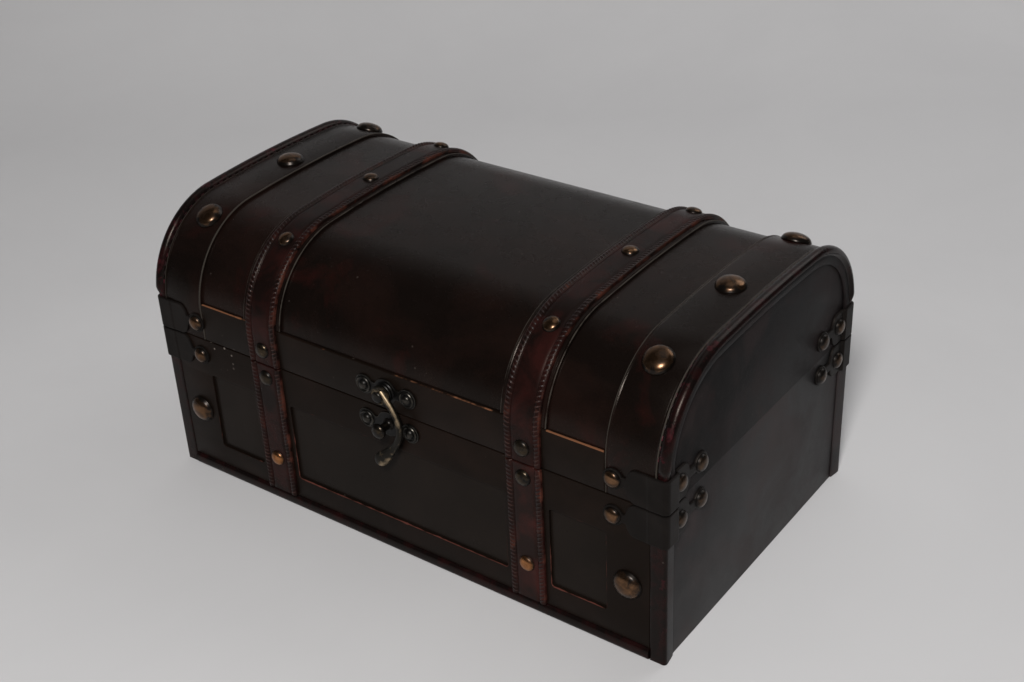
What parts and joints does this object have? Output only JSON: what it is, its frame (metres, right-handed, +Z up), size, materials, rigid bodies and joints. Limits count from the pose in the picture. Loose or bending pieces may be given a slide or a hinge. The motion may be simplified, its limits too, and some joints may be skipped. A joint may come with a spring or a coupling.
{
  "type": "storage chest",
  "caption": "Small domed storage chest in dark leatherette with nailed straps, corner patches, a rear-hinged lid and a swinging horn-hook latch.",
  "frame": {"origin": "centre of the base box on its underside, midway between the outer faces of the front and back boards", "axes": "+X along the length to the right end, -Y out of the front with the latch, +Z up"},
  "size_m": [0.3542, 0.2204, 0.1747],
  "materials": {
    "leatherette": "dark brown-black embossed leatherette, satin, mottled with oxblood",
    "panel": "smooth dark grey-brown leatherette, satin",
    "board": "thin wooden board, covered outside and inside with dark leatherette and paper",
    "strap": "oxblood leather with rolled and stitched edges, semi-gloss",
    "piping": "dark red leather piping and binding, polished by wear",
    "patch": "black leather, semi-gloss",
    "brass": "antiqued brass, darkened in the recesses"
  },
  "bodies": {
    "base": {"base_front_board": "board", "base_back_board": "board", "base_left_end_board": "panel", "base_right_end_board": "panel", "base_bottom_board": "board", "base_front_frame": "leatherette", "base_back_frame": "leatherette", "base_front_foot_bead": "piping", "base_back_foot_bead": "piping", "base_binding_front_left": "piping", "base_binding_front_right": "piping", "base_binding_back_left": "piping", "base_binding_back_right": "piping", "base_strap_front_left": "strap", "base_strap_front_right": "strap", "base_strap_back_left": "strap", "base_strap_back_right": "strap", "base_big_nail_front_left": "brass", "base_big_nail_front_right": "brass", "base_big_nail_back_left": "brass", "base_big_nail_back_right": "brass", "base_patch_front_left": "patch", "base_patch_front_right": "patch", "base_patch_back_left": "patch", "base_patch_back_right": "patch", "latch_keeper_plate": "brass", "latch_keeper_stud": "brass", "hinge_base_leaf_left": "brass", "hinge_base_leaf_right": "brass", "hinge_pin_left": "brass", "hinge_pin_right": "brass"},
    "lid": {"lid_left_end_board": "panel", "lid_right_end_board": "panel", "lid_dome": "leatherette", "lid_front_rail": "leatherette", "lid_back_rail": "leatherette", "lid_left_band": "leatherette", "lid_right_band": "leatherette", "lid_left_strap_backing": "leatherette", "lid_right_strap_backing": "leatherette", "lid_left_piping": "piping", "lid_right_piping": "piping", "lid_left_strap": "strap", "lid_right_strap": "strap", "lid_patch_front_left": "patch", "lid_patch_front_right": "patch", "lid_patch_back_left": "patch", "lid_patch_back_right": "patch", "lid_big_nail_front_left": "brass", "lid_big_nail_front_right": "brass", "lid_big_nail_top_left": "brass", "lid_big_nail_top_right": "brass", "lid_big_nail_back_left": "brass", "lid_big_nail_back_right": "brass", "latch_top_plate": "brass", "latch_pivot_rivet": "brass", "hinge_lid_leaf_left": "brass", "hinge_lid_leaf_right": "brass"},
    "latch_hook": {"latch_hook": "brass"}
  },
  "joints": [
    {"name": "lid_hinge", "type": "hinge", "parent": "base", "child": "lid", "pos_m": [0, 0.1046, 0.09675], "axis": [-1, 0, 0], "range_deg": [0, 105]},
    {"name": "latch_pivot", "type": "hinge", "parent": "lid", "child": "latch_hook", "pos_m": [0, -0.107, 0.109], "axis": [0, -1, 0], "range_deg": [0, 100]}
  ]
}
